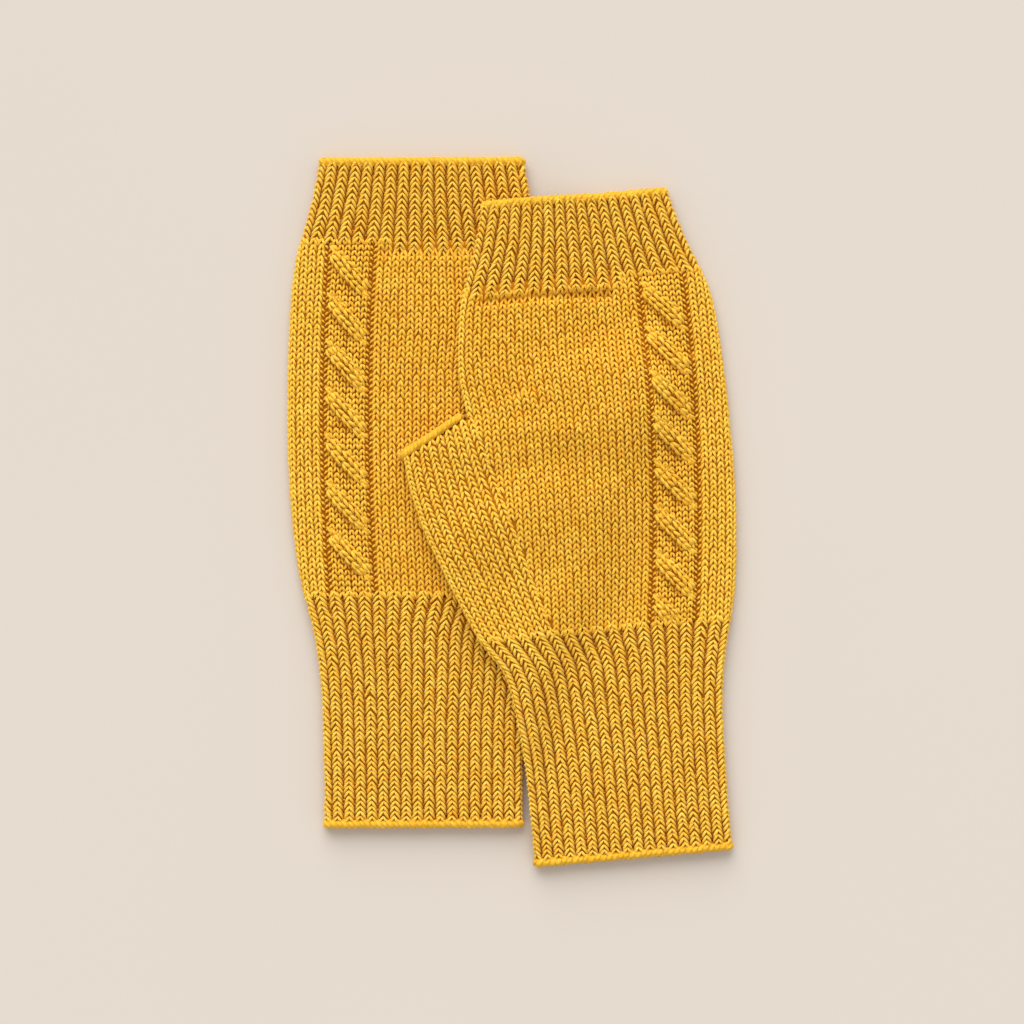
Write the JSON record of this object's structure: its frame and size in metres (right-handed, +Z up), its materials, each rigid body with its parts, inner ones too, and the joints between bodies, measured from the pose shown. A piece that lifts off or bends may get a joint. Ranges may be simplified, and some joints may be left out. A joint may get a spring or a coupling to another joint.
{
  "type": "pair of fingerless mittens",
  "caption": "Pair of fingerless knitted mittens with a rope cable, ribbed cuffs and open thumbs, laid flat with one partly over the other.",
  "frame": {"origin": "middle of the pair on the surface that it lies on", "axes": "+Y from the wrists towards the fingers, +X to the right seen from above, +Z up out of the surface"},
  "size_m": [0.166, 0.2627, 0.0134],
  "materials": {
    "wool_hand": "mustard yellow wool, stocking stitch and rope cable",
    "wool_rib": "mustard yellow wool, one by one rib",
    "wool_edge": "mustard yellow wool, rolled cast-on and bound-off edge"
  },
  "bodies": {
    "root": {"under_wrist_edge": "wool_edge", "under_wrist_rib": "wool_rib", "under_hand": "wool_hand", "under_thumb_edge": "wool_edge", "under_finger_rib": "wool_rib", "under_finger_edge": "wool_edge", "over_wrist_edge": "wool_edge", "over_wrist_rib": "wool_rib", "over_hand": "wool_hand", "over_thumb_edge": "wool_edge", "over_finger_rib": "wool_rib", "over_finger_edge": "wool_edge"}
  },
  "joints": []
}
